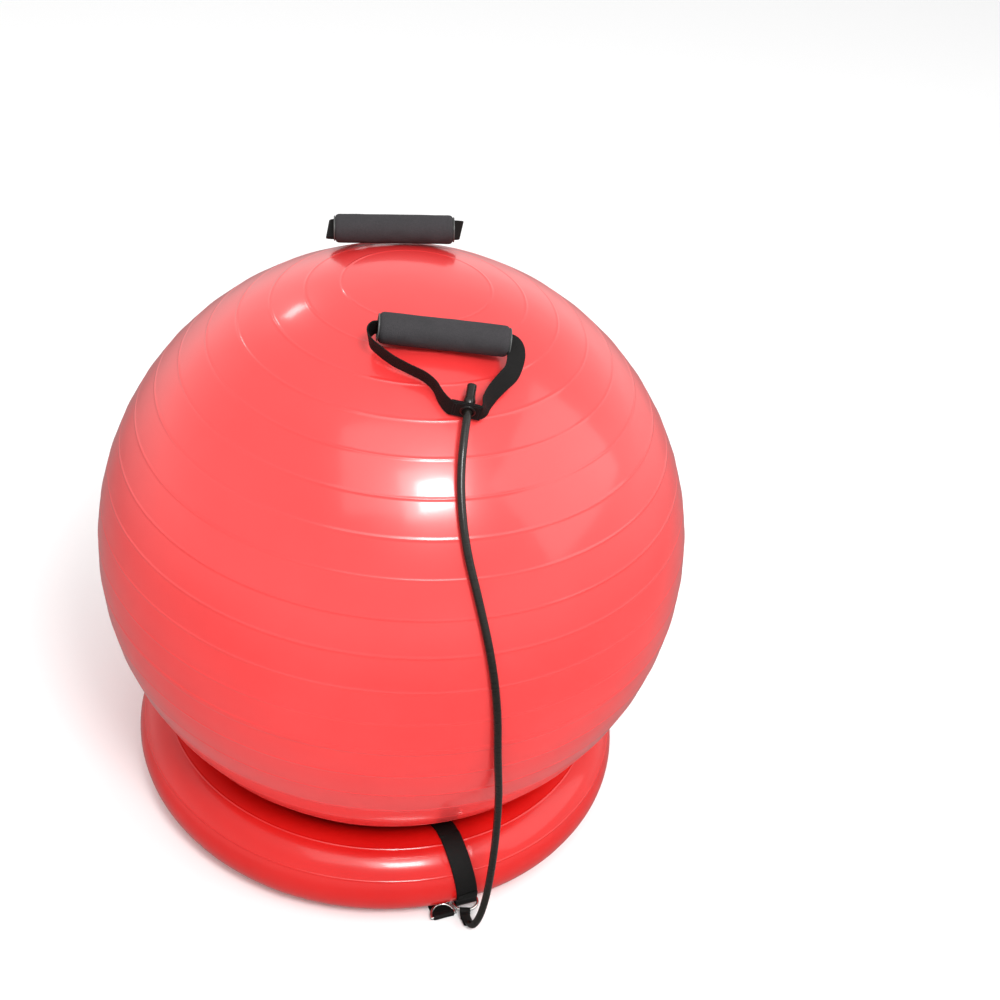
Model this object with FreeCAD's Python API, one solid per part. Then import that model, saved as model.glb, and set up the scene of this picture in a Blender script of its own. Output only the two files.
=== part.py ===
"""Exercise ball seated in an inflatable ring base, with two elastic pull bands.

Millimetres, +Z up. The origin is on the floor under the middle of the ball.
The front band is on -Y, and the rear band is the same band turned half a turn
about Z. Every separate piece is one solid, written to parts/NODE.step.
"""
import FreeCAD, Part
import os
from math import cos, pi, radians, sin, sqrt, tan

V = FreeCAD.Vector
X_AXIS, Y_AXIS, Z_AXIS = V(1, 0, 0), V(0, 1, 0), V(0, 0, 1)
SLIP = 0.1                 # room between pieces that push or slide together

# ---- ball -------------------------------------------------------------------
BALL_R = 325.0             # 65 cm ball
BALL_WALL = 1.0
BALL_FLOOR_GAP = 0.5       # the ball just clears the floor inside its ring
RIB_HEIGHT = 0.5           # moulded anti-slip ribs, circles of latitude
RIB_HALF_ANGLE = 0.22      # degrees
RIB_STEP = 6.65            # degrees of latitude between ribs
RIBS_EACH_HALF = 12
SEAM_RIB, SEAM_HALF_ANGLE = -0.5, 0.5    # the rib just below the equator is a wide mould seam
BALL_Z = BALL_R + BALL_FLOOR_GAP

# ---- inflatable ring base -----------------------------------------------------
RING_R = 45.0              # radius of the tube's section
RING_WALL = 1.2
RING_FLAT = 1.5            # how much the floor flattens the section
RING_FLOOR_WALL = 2.6      # wall left over the flat, which the straps press into
BALL_RING_GAP = 2.6        # room for the strap and the ribs between ball and ring
RING_MID_Z = RING_R - RING_FLAT
RING_MID_R = sqrt((BALL_R + RING_R + BALL_RING_GAP) ** 2 - (BALL_Z - RING_MID_Z) ** 2)

# ---- valves -------------------------------------------------------------------
SEAT_R, SEAT_DEPTH = 9.0, 12.0
SEAT_FIT = 0.02            # the seat is welded in its hole
SEAT_BORE_R = 4.0
RECESS_R, RECESS_DEPTH = 6.5, 1.8      # the plug's head lies in it
PLUG_HEAD_R, PLUG_HEAD_T = 6.1, 1.4
PLUG_STEM_TOP_R, PLUG_STEM_END_R, PLUG_LENGTH = 3.6, 3.1, 10.0
BALL_VALVE_AZ, BALL_VALVE_LAT = 140.0, 2 * RIB_STEP
RING_VALVE_AZ, RING_VALVE_TILT = 128.0, 18.0

# ---- strap round the ring tube ---------------------------------------------------
STRAP_W, STRAP_T = 24.0, 1.2
STRAP_GAP = 0.4            # between the webbing and the ring tube
STRAP_TOP_X, STRAP_TOP_Z = -3.0, 90.0
STRAP_LEAN_OUT = 0.18      # sideways drift per mm of drop on the outer side
STRAP_LEAN_IN = -0.15      # and on the ball's side, so the strap winds like a screw
STRAP_END_ANGLE = -51.0    # where the outer end stops, in degrees round the section
TAIL_X = STRAP_TOP_X + STRAP_LEAN_IN * STRAP_TOP_Z
TAIL_Y_OUT = 41.0          # how far the lower end reaches out past the tube's middle
DENT_SIDE = 2.0            # room beside the strap in the dent under the ring

# ---- D-rings ---------------------------------------------------------------------
WIRE_R = 1.5
D_R = 14.0                 # middle of the wire
SLEEVE_IN_R, SLEEVE_OUT_R = 1.75, 3.0
PULL_D_ANGLE = -47.0       # place of its bar round the ring's section
PULL_D_LIFT = 7.0          # degrees above level, away from the ring
TAIL_D_LIFT = 8.0          # degrees above level, back towards the ring

# ---- sewn tab between the pull D-ring and the foot of the elastic tube ---------------
TAB_W, TAB_T, TAB_CAP_L = 12.0, 1.3, 8.0
TAB_BOW_ANGLE = 112.0      # place of the tab on the pull D-ring's bow
TAB_BOW_ROOM = 0.15        # between the tab's loop and the wire

# ---- elastic band ------------------------------------------------------------------
BAND_R = 4.0               # 8 mm tube
BAND_BORE_R = 2.6
PLUG_R, PLUG_TAPER = 2.35, 0.8
FOOT_BORE_L, FOOT_PLUG_L = 11.0, 9.0
FOOT_PLUG_FROM = 0.5       # depth of the plug's face in the foot
STUB_BORE_FROM, STOP_PLUG_FROM, STOP_PLUG_L = 3.0, 3.4, 10.0
ON_BALL_R = BALL_R + 6.6   # corner points of the route stand off the ball
ARC_SHARE = 0.45           # share of the shorter run that an arc takes

# ---- handle, drawn flat: x along the grip, y from grommet to grip, z off the ball ----
HANDLE_NORMAL_AZ, HANDLE_NORMAL_EL = -11.7, 60.9
HANDLE_TURN = 7.0
GROMMET_AZ, GROMMET_LAT, GROMMET_R = -3.8, 57.2, 337.3
GRIP_X, GRIP_Y = -24.9, 79.0
FOAM_L, FOAM_R, FOAM_ROUND = 124.0, 15.2, 2.0
CORE_L, CORE_R, CORE_BORE_R = 127.2, 12.2, 10.6
WEB_W, WEB_T = 20.0, 1.5
LAP_X, LAP_L = -17.0, 30.0 # where the webbing's two ends lie over each other
EYE_HOLE_R, EYE_BARREL_R, EYE_FLANGE_R, EYE_T = 5.3, 5.9, 7.6, 0.7
EYE_LEAN, EYE_DIP = 7.0, 12.0  # degrees: the eyelet and tube lean to +x, the eyelet dips to the ball
STUB_Y = 27.0              # the tube's open end above the grommet
BULGE_FROM, BULGE_Y, BULGE_TO, BULGE_R = 4.0, 8.5, 16.0, 5.8


def on_sphere(azimuth, latitude, r):
    """A point at radius r from the ball's middle; azimuth 0 is -Y, towards +X."""
    a, b = radians(azimuth), radians(latitude)
    return V(r * cos(b) * sin(a), -r * cos(b) * cos(a), BALL_Z + r * sin(b))


def on_floor_plan(azimuth, rho, z):
    a = radians(azimuth)
    return V(rho * sin(a), -rho * cos(a), z)


def cylinder(r, length, start, along):
    return Part.makeCylinder(r, length, start, along)


def revolved(outline, axis=Z_AXIS):
    """A closed outline of edges, turned a full turn about an axis through 0."""
    return Part.Face(Part.Wire(outline)).revolve(V(), axis, 360)


def line(a, b):
    return Part.LineSegment(a, b).toShape()


def arc(a, mid, b):
    return Part.Arc(a, mid, b).toShape()


def polygon(points):
    return [line(a, b) for a, b in zip(points, points[1:] + points[:1])]


def frame(x, y, z, at):
    return FreeCAD.Placement(FreeCAD.Matrix(x.x, y.x, z.x, at.x, x.y, y.y, z.y, at.y,
                                            x.z, y.z, z.z, at.z, 0, 0, 0, 1))


def placed(shape, placement):
    out = shape.copy()
    out.Placement = placement.multiply(out.Placement)
    return out


# ---- the ball ------------------------------------------------------------------------
def ball_outer():
    """A sphere whose outline carries a low rib every RIB_STEP degrees."""
    def at(latitude, r=BALL_R):
        return V(r * cos(radians(latitude)), 0, r * sin(radians(latitude)))

    edges, last = [], -90.0
    for k in range(-RIBS_EACH_HALF, RIBS_EACH_HALF):
        rib = (k + 0.5) * RIB_STEP
        half = SEAM_HALF_ANGLE if k + 0.5 == SEAM_RIB else RIB_HALF_ANGLE
        low, high = rib - half, rib + half
        edges.append(arc(at(last), at((last + low) / 2), at(low)))
        edges.append(arc(at(low), at(rib, BALL_R + RIB_HEIGHT), at(high)))
        last = high
    edges.append(arc(at(last), at((last + 90) / 2), at(90)))
    edges.append(line(at(90), at(-90)))
    return revolved(edges)


def make_ball():
    shell = ball_outer().cut(Part.makeSphere(BALL_R - BALL_WALL))
    shell.translate(V(0, 0, BALL_Z))
    out = (on_sphere(BALL_VALVE_AZ, BALL_VALVE_LAT, 1) - V(0, 0, BALL_Z)).normalize()
    surface = V(0, 0, BALL_Z) + out * (BALL_R - SLIP)
    seat, plug, hole = valve(surface, out)
    return shell.cut(hole), seat, plug


# ---- valves: a soft seat set in the wall, and a push-in plug ------------------------------
def valve(surface, out):
    """The seat, the plug and the hole in the wall, for a valve whose face is at surface."""
    inward = out * -1
    seat = cylinder(SEAT_R, SEAT_DEPTH, surface, inward)
    seat = seat.cut(cylinder(SEAT_BORE_R, SEAT_DEPTH, surface, inward))
    seat = seat.cut(cylinder(RECESS_R, RECESS_DEPTH, surface, inward))
    head = cylinder(PLUG_HEAD_R, PLUG_HEAD_T, surface - out * SLIP, inward)
    stem_top = surface - out * PLUG_HEAD_T / 2
    stem = Part.makeCone(PLUG_STEM_TOP_R, PLUG_STEM_END_R, PLUG_LENGTH, stem_top, inward)
    hole = cylinder(SEAT_R + SEAT_FIT, 2 * SEAT_DEPTH, surface + out * SEAT_DEPTH / 2, inward)
    return seat, head.fuse(stem).removeSplitter(), hole


# ---- the ring -------------------------------------------------------------------------------
def ring_solid(r, floor_z):
    torus = Part.makeTorus(RING_MID_R, r, V(0, 0, RING_MID_Z))
    reach = RING_MID_R + RING_R + 1
    return torus.cut(Part.makeBox(2 * reach, 2 * reach, reach, V(-reach, -reach, floor_z - reach)))


def dent():
    """The shallow dent that the front strap presses in the underside."""
    width = STRAP_W + 2 * DENT_SIDE
    return Part.makeBox(width, 2 * RING_R, STRAP_T + SLIP, V(TAIL_X - width / 2, -RING_MID_R - RING_R, 0))


def make_ring():
    """The inflated tube, flat underneath, with a dent under each strap."""
    shell = ring_solid(RING_R, 0).cut(ring_solid(RING_R - RING_WALL, RING_FLOOR_WALL))
    rear_dent = dent()
    rear_dent.rotate(V(), Z_AXIS, 180)
    shell = shell.cut(dent()).cut(rear_dent)
    a, t = radians(RING_VALVE_AZ), radians(RING_VALVE_TILT)
    out = V(sin(a) * cos(t), -cos(a) * cos(t), sin(t))
    middle = on_floor_plan(RING_VALVE_AZ, RING_MID_R, RING_MID_Z)
    seat, plug, hole = valve(middle + out * (RING_R + SLIP), out)
    return shell.cut(hole), seat, plug


# ---- strap round the ring, drawn in the YZ plane on the -Y side -------------------------------
def section_point(angle, r):
    """A point round the ring's section: 0 is outwards, 90 is up."""
    a = radians(angle)
    return V(0, -RING_MID_R - r * cos(a), RING_MID_Z + r * sin(a))


def section_disc(r, z_low):
    """A disc of the ring's section, as wide as the strap needs, cut off level at z_low."""
    width = 5 * STRAP_W
    disc = cylinder(r, width, V(-width / 2, -RING_MID_R, RING_MID_Z), X_AXIS)
    return disc.cut(Part.makeBox(width, 4 * r, 2 * r, V(-width / 2, -RING_MID_R - 2 * r, z_low - 2 * r)))


def leaning_slab(lean, towards):
    """The strap's width on one side of the ring's middle, leaning sideways as it comes down."""
    def level(z):
        mid = STRAP_TOP_X + lean * (STRAP_TOP_Z - z)
        return [V(mid - STRAP_W / 2, -RING_MID_R, z), V(mid + STRAP_W / 2, -RING_MID_R, z)]

    low_left, low_right = level(-STRAP_T)
    high_left, high_right = level(STRAP_TOP_Z + 2 * STRAP_T)
    slab = Part.Face(Part.Wire(polygon([low_left, low_right, high_right, high_left])))
    return slab.extrude(towards * 2 * RING_R)


def d_ring_place(bar, pitch):
    """The frame of a D-ring: x along its bar, y towards its bow, pitch degrees below level."""
    y = V(0, -cos(radians(pitch)), -sin(radians(pitch)))
    return frame(X_AXIS, y, X_AXIS.cross(y), bar)


PULL_BAR = section_point(PULL_D_ANGLE, RING_R + STRAP_GAP + SLEEVE_OUT_R)
PULL_BAR.x = STRAP_TOP_X + STRAP_LEAN_OUT * (STRAP_TOP_Z - PULL_BAR.z)
PULL_D_PLACE = d_ring_place(PULL_BAR, -PULL_D_LIFT)
TAIL_BAR = V(TAIL_X, -RING_MID_R - TAIL_Y_OUT, SLEEVE_OUT_R + SLIP / 2)
TAIL_D_PLACE = d_ring_place(TAIL_BAR, 180 + TAIL_D_LIFT)


def sleeve(bar, r):
    """The end of a strap folded round a bar, or at a smaller r the room inside it."""
    return cylinder(r, STRAP_W, bar - X_AXIS * STRAP_W / 2, X_AXIS)


def make_ring_strap():
    """Over the ring, down on the ball's side and out again underneath, an end loop on each end."""
    band = section_disc(RING_R + STRAP_GAP + STRAP_T, 0).cut(section_disc(RING_R + STRAP_GAP, STRAP_T))
    end_z = section_point(STRAP_END_ANGLE, RING_R).z
    reach = 5 * STRAP_W
    opening = Part.makeBox(reach, 2 * RING_R, end_z, V(-reach / 2, -RING_MID_R - 2 * RING_R, 0))
    outer = band.cut(opening).common(leaning_slab(STRAP_LEAN_OUT, Y_AXIS * -1))
    inner = band.common(leaning_slab(STRAP_LEAN_IN, Y_AXIS))
    tail = Part.makeBox(STRAP_W, TAIL_Y_OUT, STRAP_T, V(TAIL_X - STRAP_W / 2, TAIL_BAR.y, 0))
    strap = outer.fuse([inner, tail, sleeve(PULL_BAR, SLEEVE_OUT_R), sleeve(TAIL_BAR, SLEEVE_OUT_R)])
    strap = strap.cut(sleeve(PULL_BAR, SLEEVE_IN_R)).cut(sleeve(TAIL_BAR, SLEEVE_IN_R))
    return strap.cut(ring_solid(RING_R + SLIP / 2, 0).cut(dent())).removeSplitter()


def d_ring_bow(wire_r):
    section = Part.Face(Part.Wire(Part.makeCircle(wire_r, V(D_R, 0, 0), Y_AXIS)))
    return section.revolve(V(), Z_AXIS, 180)


def make_d_ring():
    """A straight bar along x and a half circle of the same wire, closed with round corners."""
    bar = cylinder(WIRE_R, 2 * D_R, V(-D_R, 0, 0), X_AXIS)
    corners = [Part.makeSphere(WIRE_R, V(x, 0, 0)) for x in (-D_R, D_R)]
    return d_ring_bow(WIRE_R).fuse([bar] + corners).removeSplitter()


# ---- elastic tube ---------------------------------------------------------------------------------
HANDLE_M = (on_sphere(HANDLE_NORMAL_AZ, HANDLE_NORMAL_EL, 1) - V(0, 0, BALL_Z)).normalize()
EAST = V(cos(radians(HANDLE_NORMAL_AZ)), sin(radians(HANDLE_NORMAL_AZ)), 0)
UPHILL = HANDLE_M.cross(EAST)
HANDLE_U = UPHILL * cos(radians(HANDLE_TURN)) + EAST * sin(radians(HANDLE_TURN))
HANDLE_X = HANDLE_U.cross(HANDLE_M)
GROMMET = on_sphere(GROMMET_AZ, GROMMET_LAT, GROMMET_R)
HANDLE_PLACE = frame(HANDLE_X, HANDLE_U, HANDLE_M, GROMMET)
STUB_U = HANDLE_U * cos(radians(EYE_LEAN)) + HANDLE_X * sin(radians(EYE_LEAN))
STUB_X = STUB_U.cross(HANDLE_M)
STUB_PLACE = frame(STUB_X, STUB_U, HANDLE_M, GROMMET)
EYE_U = STUB_U * cos(radians(EYE_DIP)) - HANDLE_M * sin(radians(EYE_DIP))
EYE_PLACE = frame(STUB_X, EYE_U, STUB_X.cross(EYE_U), GROMMET)

# The route from the stub above the grommet, over the ball, down to the foot on the floor.
# It is one tube in two stretches, which meet halfway between their corners.
LAST_TOP_CORNER = on_sphere(-8.3, 45.4, ON_BALL_R)
FIRST_CORNER = on_sphere(-8.1, 35.8, ON_BALL_R)
JOIN = (LAST_TOP_CORNER + FIRST_CORNER) * 0.5
TOP_ROUTE = [
    GROMMET + STUB_U * STUB_Y,
    GROMMET - STUB_U * 22,
    LAST_TOP_CORNER,
    JOIN,
]
ROUTE = [
    JOIN,
    FIRST_CORNER,
    on_sphere(-5.8, 26.3, ON_BALL_R),
    on_sphere(-3.55, 16.0, ON_BALL_R),
    on_sphere(-2.0, 5.6, ON_BALL_R),
    on_floor_plan(-0.95, 331.6, 298),
    on_floor_plan(0.9, 327.6, 236),
    on_floor_plan(2.1, 322.6, 174),
    on_floor_plan(2.8, 319.0, 112),
    on_floor_plan(2.7, 318.0, 58),
    on_floor_plan(1.9, 317.0, 24),
    on_floor_plan(0.96, 310.5, 5.4),
    on_floor_plan(0.95, 295.5, 6.6),
]
FOOT_END = ROUTE[-1]
FOOT_IN = (ROUTE[-1] - ROUTE[-2]).normalize()


def tube_path(points):
    """Straight runs with an arc at each corner; also the list of the arcs' radii."""
    edges, radii, at = [], [], points[0]
    for before, corner, after in zip(points, points[1:], points[2:]):
        d1, d2 = (corner - before).normalize(), (after - corner).normalize()
        half = d1.getAngle(d2) / 2
        reach = ARC_SHARE * min((corner - before).Length, (after - corner).Length)
        r = reach / tan(half)
        start, end = corner - d1 * reach, corner + d2 * reach
        middle = corner + (d2 - d1).normalize() * (r / cos(half) - r)
        edges += [line(at, start), arc(start, middle, end)]
        radii.append(r)
        at = end
    edges.append(line(at, points[-1]))
    return Part.Wire(edges), radii


def tube(points, name):
    path, radii = tube_path(points)
    start = (points[1] - points[0]).normalize()
    ring = Part.Wire(Part.makeCircle(BAND_R, points[0], start))
    solid = path.makePipeShell([ring], True, False)
    print(f"{name}: length {path.Length:.1f} mm, radii", [round(r) for r in radii],
          f"volume / (section x length) {solid.Volume / (pi * BAND_R ** 2 * path.Length):.4f}")
    return solid


def make_foot_tube():
    """The long stretch; its foot is bored for the plug that holds it in its tab."""
    solid = tube(ROUTE, "band tube")
    return solid.cut(cylinder(BAND_BORE_R, FOOT_BORE_L, FOOT_END, FOOT_IN * -1))


def stub_bulge():
    """Local: the swelling over the stop plug, just above the grommet."""
    edges = [line(V(0, BULGE_FROM, 0), V(BAND_R, BULGE_FROM, 0)),
             arc(V(BAND_R, BULGE_FROM, 0), V(BULGE_R, BULGE_Y, 0), V(BAND_R, BULGE_TO, 0)),
             line(V(BAND_R, BULGE_TO, 0), V(0, BULGE_TO, 0)),
             line(V(0, BULGE_TO, 0), V(0, BULGE_FROM, 0))]
    return revolved(edges, Y_AXIS)


def make_top_tube():
    """The stretch through the grommet, with an open stub swollen by the stop plug."""
    solid = tube(TOP_ROUTE, "band tube, top stretch").fuse(placed(stub_bulge(), STUB_PLACE))
    bore = cylinder(BAND_BORE_R, STUB_Y - STUB_BORE_FROM, Y_AXIS * STUB_BORE_FROM, Y_AXIS)
    return solid.removeSplitter().cut(placed(bore, STUB_PLACE))


def make_stop_plug():
    """Local: the tapered plug pushed into the tube's end."""
    return Part.makeCone(PLUG_R * PLUG_TAPER, PLUG_R, STOP_PLUG_L, Y_AXIS * STOP_PLUG_FROM, Y_AXIS)


def make_foot_plug():
    """The tapered plug that swells the tube's foot inside its sewn tab."""
    face = FOOT_END - FOOT_IN * FOOT_PLUG_FROM
    return Part.makeCone(PLUG_R, PLUG_R * PLUG_TAPER, FOOT_PLUG_L, face, FOOT_IN * -1)


def make_foot_tab():
    """A sewn webbing tab: a cap on the tube's foot, and a loop on the pull D-ring's bow."""
    bow_angle = radians(TAB_BOW_ANGLE)
    bow = PULL_D_PLACE.multVec(V(cos(bow_angle), sin(bow_angle), 0) * D_R)
    wire = PULL_D_PLACE.Rotation.multVec(V(-sin(bow_angle), cos(bow_angle), 0))
    cap_r = BAND_R + SLIP
    cap = cylinder(cap_r + TAB_T, TAB_CAP_L + TAB_T, FOOT_END - FOOT_IN * TAB_CAP_L, FOOT_IN)
    along = (bow - FOOT_END).normalize()
    up = along.cross(wire).normalize()
    web = Part.makeBox(TAB_W, (bow - FOOT_END).Length, 2 * TAB_T, V(-TAB_W / 2, 0, -TAB_T))
    web = placed(web, frame(along.cross(up), along, up, FOOT_END))
    loop = cylinder(WIRE_R + TAB_BOW_ROOM + TAB_T, TAB_W, bow - wire * TAB_W / 2, wire)
    foot = cylinder(cap_r, 2 * TAB_CAP_L, FOOT_END - FOOT_IN * 2 * TAB_CAP_L, FOOT_IN)
    return cap.fuse([web, loop]).cut(foot).cut(placed(d_ring_bow(WIRE_R + TAB_BOW_ROOM), PULL_D_PLACE))


# ---- handle, in its own flat frame ---------------------------------------------------------------------
LOOP = [  # corner x, y and bend radius of the webbing's middle line, anticlockwise
    (-21, 2.6, 5), (17, -2.1, 4.5), (17.5, 13, 10), (40, 44, 14),
    (46, GRIP_Y, 7), (-96.5, GRIP_Y, 7), (-92, 56, 8), (-38, 32, 12),
]


def loop_outline(offset):
    """The webbing loop's middle line, moved out by offset."""
    pts = [V(x, y, 0) for x, y, _ in LOOP]
    edges, ends = [], []
    for i, (x, y, r) in enumerate(LOOP):
        d1 = (pts[i] - pts[i - 1]).normalize()
        d2 = (pts[(i + 1) % len(pts)] - pts[i]).normalize()
        n1, n2 = V(d1.y, -d1.x, 0), V(d2.y, -d2.x, 0)
        corner = pts[i] + (n1 + n2) * (offset / (1 + n1.dot(n2)))
        left = 1 if d1.cross(d2).z > 0 else -1
        r += left * offset
        half = d1.getAngle(d2) / 2
        middle = corner + (d2 - d1).normalize() * (r / cos(half) - r)
        ends.append((corner - d1 * r * tan(half), middle, corner + d2 * r * tan(half)))
    for i, (start, middle, end) in enumerate(ends):
        edges += [line(ends[i - 1][2], start), arc(start, middle, end)]
    return Part.Face(Part.Wire(edges))


def make_handle_strap():
    """The webbing loop, on edge to the ball; its lapped ends lie square to the eyelet."""
    flat = loop_outline(WEB_T / 2).cut(loop_outline(-WEB_T / 2))
    loop = flat.extrude(Z_AXIS * WEB_W)
    loop.translate(V(0, 0, -WEB_W / 2))
    room = Part.makeBox(LAP_L - 2, 8 * WEB_T, 2 * WEB_W, V(LAP_X + 1, -4 * WEB_T, -WEB_W))
    loop = placed(loop, HANDLE_PLACE).cut(placed(room, EYE_PLACE))
    lap = Part.makeBox(LAP_L, 2 * WEB_T, WEB_W, V(LAP_X, -WEB_T, -WEB_W / 2))
    lap = lap.cut(cylinder(EYE_BARREL_R + SLIP / 2, 4 * WEB_T, Y_AXIS * -2 * WEB_T, Y_AXIS))
    return loop.fuse(placed(lap, EYE_PLACE)).removeSplitter()


def make_grommet():
    """A metal eyelet through the lapped webbing, seen in section and turned about y."""
    y1 = WEB_T + SLIP
    y2 = y1 + EYE_T
    outline = [V(EYE_HOLE_R, -y2, 0), V(EYE_FLANGE_R, -y2, 0), V(EYE_FLANGE_R, -y1, 0),
               V(EYE_BARREL_R, -y1, 0), V(EYE_BARREL_R, y1, 0), V(EYE_FLANGE_R, y1, 0),
               V(EYE_FLANGE_R, y2, 0), V(EYE_HOLE_R, y2, 0)]
    return revolved(polygon(outline), Y_AXIS)


def make_grip_core():
    start = V(GRIP_X - CORE_L / 2, GRIP_Y, 0)
    return cylinder(CORE_R, CORE_L, start, X_AXIS).cut(cylinder(CORE_BORE_R, CORE_L, start, X_AXIS))


def make_grip_foam():
    start = V(GRIP_X - FOAM_L / 2, GRIP_Y, 0)
    foam = cylinder(FOAM_R, FOAM_L, start, X_AXIS)
    rims = [e for e in foam.Edges if isinstance(e.Curve, Part.Circle)]
    foam = foam.makeFillet(FOAM_ROUND, rims)
    return foam.cut(cylinder(CORE_R + SLIP, FOAM_L, start, X_AXIS))


# ---- the whole -------------------------------------------------------------------------------------------
def band_pieces():
    """The pieces of the front band and its strap, by plain name."""
    return {
        "ring_strap": make_ring_strap(),
        "pull_d_ring": placed(make_d_ring(), PULL_D_PLACE),
        "tail_d_ring": placed(make_d_ring(), TAIL_D_PLACE),
        "foot_tab": make_foot_tab(),
        "foot_plug": make_foot_plug(),
        "band_tube": make_foot_tube(),
        "band_tube_top": make_top_tube(),
        "stop_plug": placed(make_stop_plug(), STUB_PLACE),
        "grommet": placed(make_grommet(), EYE_PLACE),
        "handle_strap": make_handle_strap(),
        "grip_core": placed(make_grip_core(), HANDLE_PLACE),
        "grip_foam": placed(make_grip_foam(), HANDLE_PLACE),
    }


def build():
    nodes = {}
    nodes["ball_shell"], nodes["ball_valve_seat"], nodes["ball_plug"] = make_ball()
    nodes["ring_tube"], nodes["ring_valve_seat"], nodes["ring_plug"] = make_ring()
    for name, shape in band_pieces().items():
        nodes[name + "_front"] = shape
        rear = shape.copy()
        rear.rotate(V(), Z_AXIS, 180)
        nodes[name + "_rear"] = rear
    return nodes


os.makedirs("parts", exist_ok=True)
for name, shape in build().items():
    solids = shape.Solids
    print(f"{name}: {len(solids)} solid, valid {shape.isValid()}, {shape.Volume:.0f} mm3")
    shape.exportStep(f"parts/{name}.step")
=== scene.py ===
import bmesh
import bpy
from math import asin, atan2, ceil, cos, degrees, exp, hypot, pi, radians, sin, sqrt
from mathutils import Matrix, Vector, noise


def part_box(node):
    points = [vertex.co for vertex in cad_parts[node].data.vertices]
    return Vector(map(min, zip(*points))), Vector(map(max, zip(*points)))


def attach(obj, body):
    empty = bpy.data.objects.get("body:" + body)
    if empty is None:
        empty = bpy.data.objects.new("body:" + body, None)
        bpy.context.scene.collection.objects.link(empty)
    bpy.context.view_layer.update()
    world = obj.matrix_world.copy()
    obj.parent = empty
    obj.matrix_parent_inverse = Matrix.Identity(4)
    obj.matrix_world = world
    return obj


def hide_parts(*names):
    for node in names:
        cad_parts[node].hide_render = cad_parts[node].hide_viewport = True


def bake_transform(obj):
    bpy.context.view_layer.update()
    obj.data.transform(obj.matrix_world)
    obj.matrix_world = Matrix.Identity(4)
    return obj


# The looks of an exercise ball seated in an inflatable ring base, with two elastic
# pull bands. Metres, with the floor at z 0 and the ring's middle at the origin. The
# front band is on -Y. The rear band is the front one turned half a turn about Z.
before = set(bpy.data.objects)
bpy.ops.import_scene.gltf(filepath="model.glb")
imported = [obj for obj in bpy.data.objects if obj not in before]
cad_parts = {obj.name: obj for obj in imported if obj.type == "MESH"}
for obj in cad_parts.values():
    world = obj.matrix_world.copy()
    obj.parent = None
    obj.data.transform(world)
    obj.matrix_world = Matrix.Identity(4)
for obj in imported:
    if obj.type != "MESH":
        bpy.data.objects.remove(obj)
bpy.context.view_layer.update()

X, Z = Vector((1, 0, 0)), Vector((0, 0, 1))
SIDES = {"front": Matrix.Identity(4), "rear": Matrix.Rotation(pi, 4, "Z")}

# ---- sizes -----------------------------------------------------------------------------
low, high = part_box("ball_shell")
BALL_R = (high.x - low.x) / 2
BALL_C = (low + high) / 2
RIB_STEP, RIBS_EACH_HALF = 6.65, 12          # degrees of latitude between moulded ribs
RIB_HEIGHT, RIB_SPREAD = 0.0004, 0.23        # metres, and degrees to either side
SEAM_RIB, SEAM_HALF = -1, 0.5                # the first rib below the equator is a wide mould seam
SKIN_INSET = 0.0002                          # keeps the waves of the vinyl inside the CAD's outline
BALL_WAVES = ((0.00022, 4.2), (0.0001, 11))  # height of the vinyl's slight waves, and how close
RING_WAVE, WAVES_ROUND, WAVES_SECTION = 0.00035, 5, 1.4

low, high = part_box("ring_tube")
RING_R = 0.045
RING_MID_R = (high.x - low.x) / 2 - RING_R
RING_MID_Z = high.z - RING_R
BEAD_ANGLES = (30, 76, 180)                  # moulded lines round the ring's section
BEAD_HEIGHT, BEAD_SPREAD = 0.0006, 1.0
PINCH, PINCH_SHOULDER = 0.0007, 0.007        # how the ring gives way under a strap
HOLE_IN_RING_R = RING_MID_R - 0.014          # the floor that shows in the gloss inside the ring

SEAT_R, SEAT_DEPTH, SEAT_BORE_R = 0.009, 0.012, 0.004
RECESS_R, RECESS_DEPTH = 0.0065, 0.0018
PLUG_HEAD_R, PLUG_HEAD_T, PLUG_LENGTH = 0.0061, 0.0014, 0.0100
BALL_VALVE_AZ, BALL_VALVE_LAT = 140, 2 * RIB_STEP
RING_VALVE_AZ, RING_VALVE_TILT = 128, 18
LIP_DEPTH = 0.0012                           # how far a hole's edge turns into the wall

STRAP_W, STRAP_T = 0.024, 0.0012
STRAP_TOP_X, STRAP_TOP_Z = -0.003, 0.090
STRAP_LEAN_OUT, STRAP_LEAN_IN = 0.18, -0.15
STRAP_TURN_ANGLE = 50                        # below this the strap leans as it does inside the ring
STRAP_R = RING_R - PINCH + 0.0002            # the strap's face on the pinched ring
LAP_TOP_R = STRAP_R + 2.06 * STRAP_T         # the outer face where two layers are sewn
STRAP_ON_FLOOR = STRAP_T / 2 + 0.0001        # its middle, where it runs under the ring
RING_OVER_STRAP = STRAP_T + 0.00015          # the ring's skin there
STRAP_STITCH_X = STRAP_W / 2 - 0.0025
WIRE_R, D_R = 0.0015, 0.014
SLEEVE_R = 0.0024                            # middle of the webbing round a D-ring's bar
PULL_D_ANGLE, PULL_D_LIFT = -47, 7           # its bar's place round the section, and its own slope
TAIL_Y_OUT = 0.041                           # the tail D-ring's bar, out from the ring's middle line

BAND_R, BAND_BORE_R, BAND_SIDES = 0.004, 0.0026, 28
BAND_LENGTH, BAND_TOP_LENGTH = 0.574, 0.126
ON_BALL_R = BALL_R + 0.0066
TUBE_PAST_EYE, TUBE_BLEND = 0.027, 0.030     # tube above the eyelet, and the stretch that bends below it
STOP_UP, STOP_SPREAD = 0.0090, 0.0044        # where the stop plug swells the tube, above the eyelet
STOP_BULGE, STRETCHED = 0.0013, 0.0006

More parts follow.
